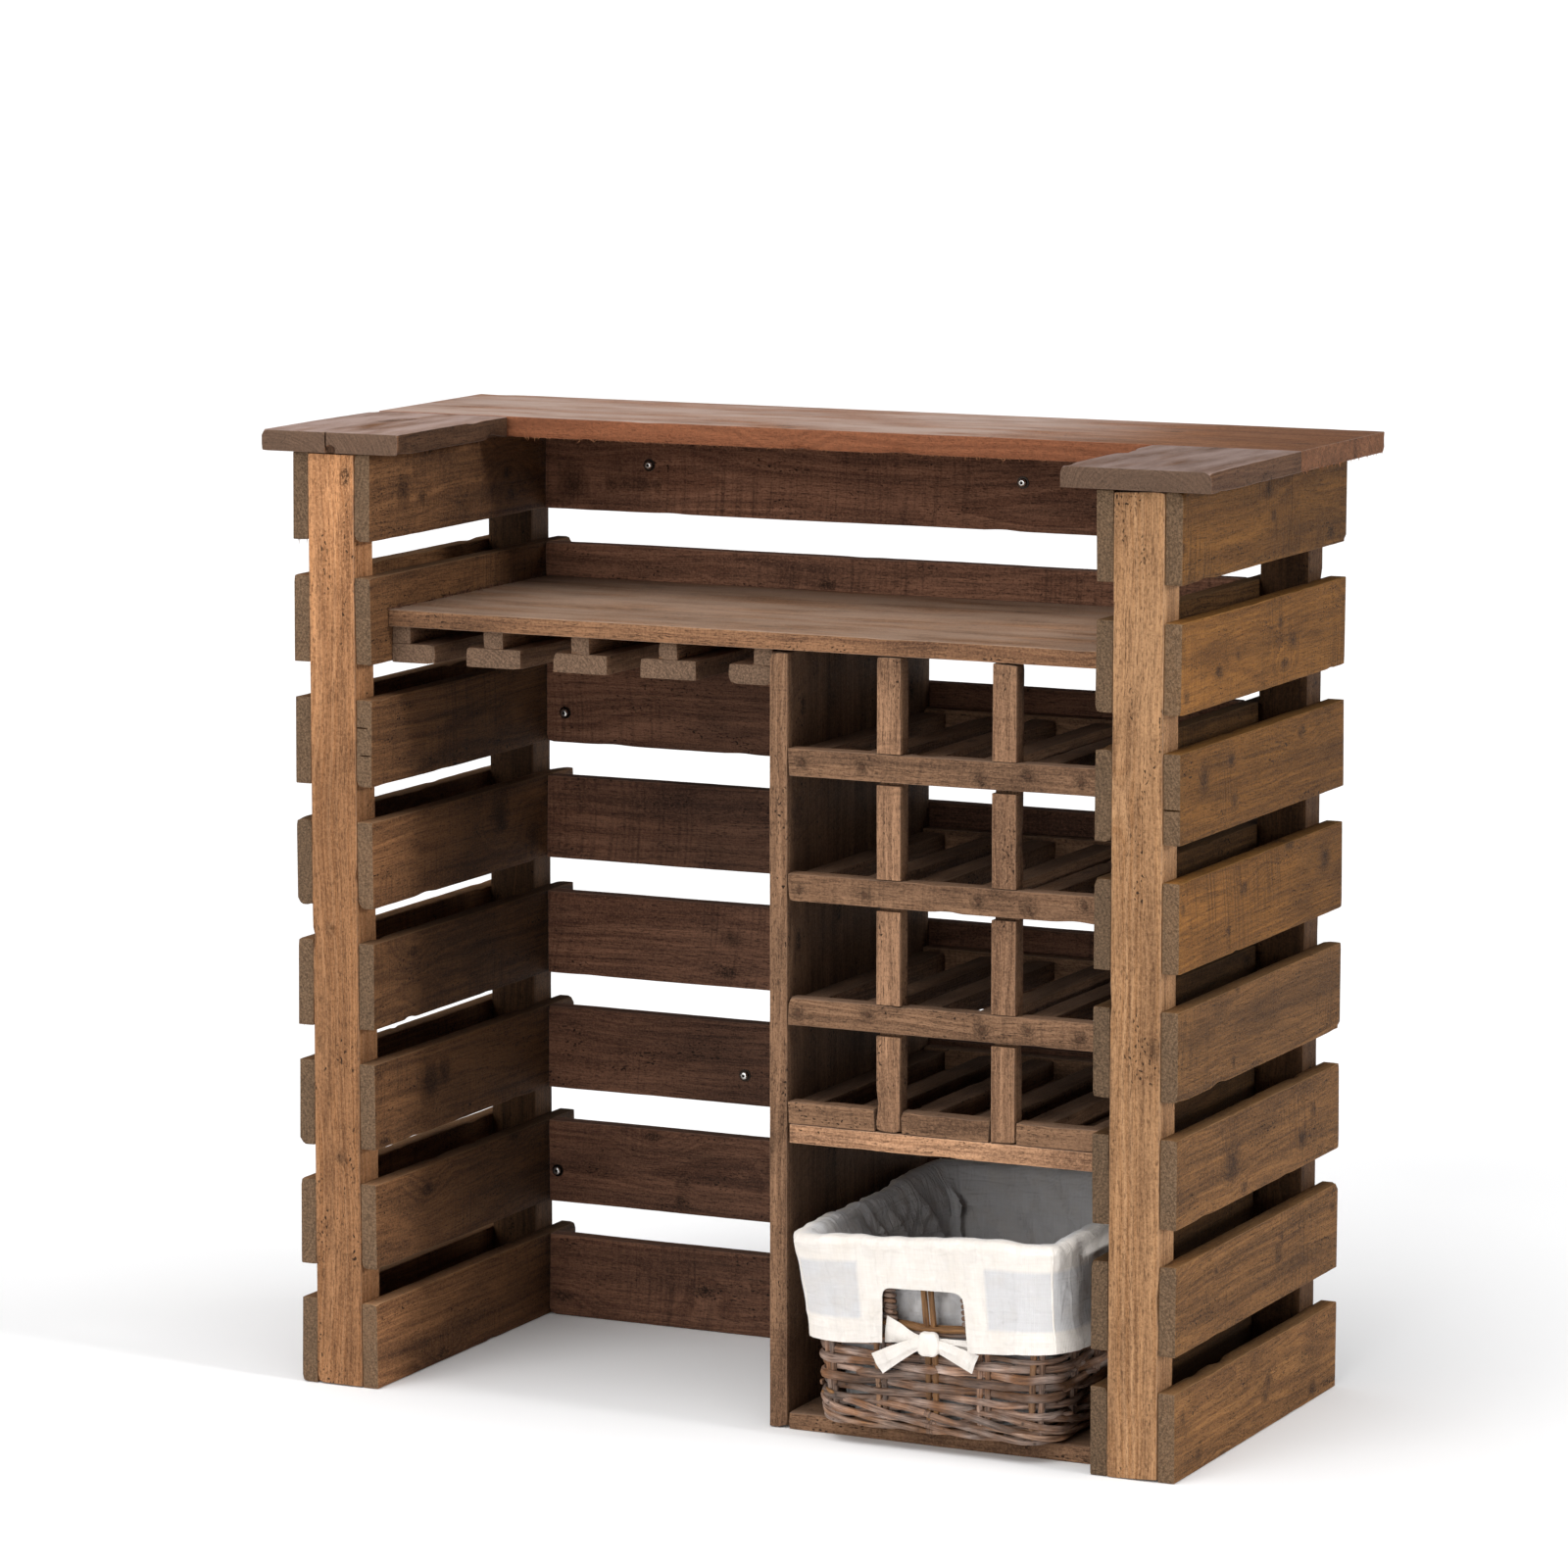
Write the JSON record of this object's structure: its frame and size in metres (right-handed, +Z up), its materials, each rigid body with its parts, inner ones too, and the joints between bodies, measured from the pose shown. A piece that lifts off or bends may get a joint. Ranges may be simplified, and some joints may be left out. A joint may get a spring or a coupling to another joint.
{
  "type": "bar counter cabinet",
  "caption": "Free-standing U-shaped bar counter of reclaimed slats, open at the back, with a shelf, hanging glass rails, a bottle rack and a lined pull-out wicker basket.",
  "frame": {"origin": "on the floor, under the middle of the counter's bounding box", "axes": "+Z up, +X to the right seen from the bartender's open side, +Y from the bartender towards the guests"},
  "size_m": [1.052, 0.4803, 1.002],
  "materials": {
    "post_wood": "warm light brown planed posts, oiled",
    "side_slat_wood": "rough-sawn brown slats, grey end grain, oiled",
    "back_slat_wood": "dark reddish brown sawn slats",
    "counter_wood": "weathered grey-brown top over a reddish sawn edge",
    "shelf_wood": "sawn brown board, waxed",
    "rack_wood": "grey-brown sawn battens",
    "screw_steel": "zinc-plated button heads",
    "wicker": "unpeeled grey willow rods, woven",
    "liner_cotton": "unbleached plain-weave cotton"
  },
  "bodies": {
    "cabinet": {"left_outer_slat_1": "side_slat_wood", "left_outer_slat_2": "side_slat_wood", "left_outer_slat_3": "side_slat_wood", "left_outer_slat_4": "side_slat_wood", "left_outer_slat_5": "side_slat_wood", "left_outer_slat_6": "side_slat_wood", "left_outer_slat_7": "side_slat_wood", "left_outer_slat_8": "side_slat_wood", "left_inner_slat_1": "side_slat_wood", "left_inner_slat_2": "side_slat_wood", "left_inner_slat_3": "side_slat_wood", "left_inner_slat_4": "side_slat_wood", "left_inner_slat_5": "side_slat_wood", "left_inner_slat_6": "side_slat_wood", "left_inner_slat_7": "side_slat_wood", "left_inner_slat_8": "side_slat_wood", "right_outer_slat_1": "side_slat_wood", "right_outer_slat_2": "side_slat_wood", "right_outer_slat_3": "side_slat_wood", "right_outer_slat_4": "side_slat_wood", "right_outer_slat_5": "side_slat_wood", "right_outer_slat_6": "side_slat_wood", "right_outer_slat_7": "side_slat_wood", "right_outer_slat_8": "side_slat_wood", "right_inner_slat_1": "side_slat_wood", "right_inner_slat_2": "side_slat_wood", "right_inner_slat_3": "side_slat_wood", "right_inner_slat_4": "side_slat_wood", "right_inner_slat_5": "side_slat_wood", "right_inner_slat_6": "side_slat_wood", "right_inner_slat_7": "side_slat_wood", "right_inner_slat_8": "side_slat_wood", "left_front_post": "post_wood", "left_rear_post": "post_wood", "right_front_post": "post_wood", "right_rear_post": "post_wood", "back_slat_1": "back_slat_wood", "back_slat_2": "back_slat_wood", "back_slat_3": "back_slat_wood", "back_slat_4": "back_slat_wood", "back_slat_5": "back_slat_wood", "back_slat_6": "back_slat_wood", "back_slat_7": "back_slat_wood", "back_slat_8": "back_slat_wood", "counter_back_board": "counter_wood", "counter_left_wing": "counter_wood", "counter_right_wing": "counter_wood", "shelf_board": "shelf_wood", "rack_divider": "rack_wood", "rack_uprights": "rack_wood", "rack_front_rails": "rack_wood", "rack_rear_rails": "rack_wood", "rack_runners": "rack_wood", "rack_floor": "rack_wood", "base_board": "rack_wood", "glass_rails": "rack_wood", "assembly_screws": "screw_steel"},
    "basket": {"basket_body": "wicker", "basket_liner": "liner_cotton", "liner_bows": "liner_cotton"}
  },
  "joints": [
    {"name": "basket_slide", "type": "slide", "parent": "cabinet", "child": "basket", "axis": [0, -1, 0], "range_m": [0, 0.36]}
  ]
}
